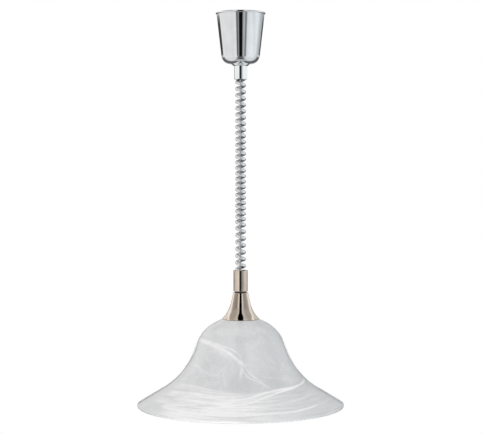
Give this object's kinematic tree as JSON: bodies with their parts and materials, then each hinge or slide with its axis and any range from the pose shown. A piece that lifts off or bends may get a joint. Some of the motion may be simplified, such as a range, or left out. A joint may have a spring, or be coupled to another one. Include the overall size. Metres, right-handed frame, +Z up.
{
  "type": "pendant lamp",
  "caption": "Rise-and-fall pendant lamp: nickel ceiling cup with a spring reel, curly flex, flared nickel cap and an alabaster-glass bell shade.",
  "frame": {"origin": "middle of the two ceiling screws, on the ceiling plane", "axes": "+Z up, out of the ceiling fitting into the ceiling; the lamp hangs down -Z; -Y is the pictured front"},
  "size_m": [0.4, 0.3998, 0.7591],
  "materials": {
    "bright_nickel": "bright brushed nickel",
    "chrome": "polished",
    "satin_nickel": "warm satin nickel",
    "zinc_steel": "zinc plated",
    "spring_steel": "blued",
    "rope_steel": "stranded",
    "drum_plastic": "moulded",
    "guide_plastic": "natural acetal",
    "gland_plastic": "moulded grey",
    "cord_pvc": "clear grey PVC",
    "block_plastic": "moulded white",
    "brass": "bright",
    "core_brown": "insulated wire",
    "core_blue": "insulated wire",
    "core_earth": "insulated wire, green and yellow",
    "core_white": "silicone insulated wire",
    "ferrule_metal": "crimped",
    "holder_black": "phenolic",
    "ceramic": "glazed ceramic",
    "gasket": "matte",
    "alabaster_glass": "satin alabaster glass",
    "opal_glass": "opal",
    "bulb_metal": "rolled",
    "black_glass": "gloss"
  },
  "bodies": {
    "ceiling_fitting": {"ceiling_bracket": "zinc_steel", "suspension_bolt": "zinc_steel", "suspension_nut": "zinc_steel", "reel_frame": "zinc_steel", "reel_axle": "zinc_steel", "drum_washers": "zinc_steel", "axle_clips": "zinc_steel", "outlet_tube": "chrome", "tube_screws": "zinc_steel", "rope_guide": "guide_plastic", "upper_cord_gland": "gland_plastic", "terminal_block": "block_plastic", "terminal_screws": "brass", "block_screw": "zinc_steel", "live_core": "core_brown", "earth_core": "core_earth", "neutral_core": "core_blue", "curly_cord": "cord_pvc", "pull_rope": "rope_steel"},
    "canopy": {"canopy_cup": "bright_nickel", "canopy_collar": "chrome", "collar_grub_screw": "zinc_steel"},
    "drum": {"spring_drum": "drum_plastic", "drum_cover": "drum_plastic", "clock_spring": "spring_steel", "rope_winding": "rope_steel"},
    "lamp": {"top_sleeve": "satin_nickel", "rope_anchor": "zinc_steel", "rope_ferrule": "ferrule_metal", "lower_cord_gland": "gland_plastic", "lamp_cores": "core_white", "nipple": "zinc_steel", "nipple_nuts": "zinc_steel", "spacer_ring": "holder_black", "cone_cap": "satin_nickel", "lampholder_dome": "holder_black", "lampholder_skirt": "holder_black", "socket_insert": "ceramic", "screw_shell": "brass", "centre_contact": "brass", "shade_gasket": "gasket", "shade_ring": "holder_black", "glass_shade": "alabaster_glass"},
    "bulb": {"bulb_contact": "brass", "bulb_insulator": "black_glass", "bulb_cap": "bulb_metal", "bulb_envelope": "opal_glass"}
  },
  "joints": [
    {"name": "lamp_height", "type": "slide", "parent": "ceiling_fitting", "child": "lamp", "axis": [0, 0, -1], "range_m": [-0.06, 0.74], "deforming": ["curly_cord", "pull_rope"]},
    {"name": "drum_spin", "type": "hinge", "parent": "ceiling_fitting", "child": "drum", "pos_m": [-0.01815, 0, -0.038], "axis": [0, 1, 0], "range_deg": [-200, 2350]},
    {"name": "canopy_slide", "type": "slide", "parent": "ceiling_fitting", "child": "canopy", "axis": [0, 0, -1], "range_m": [0, 0.12]},
    {"name": "bulb_turn", "type": "hinge", "parent": "lamp", "child": "bulb", "pos_m": [0, 0, -0.6], "axis": [0, 0, 1], "range_deg": [-1800, 0]}
  ],
  "couplings": [
    {"joint": "drum_spin", "follows": "lamp_height", "rad_per_m": 55.096}
  ]
}
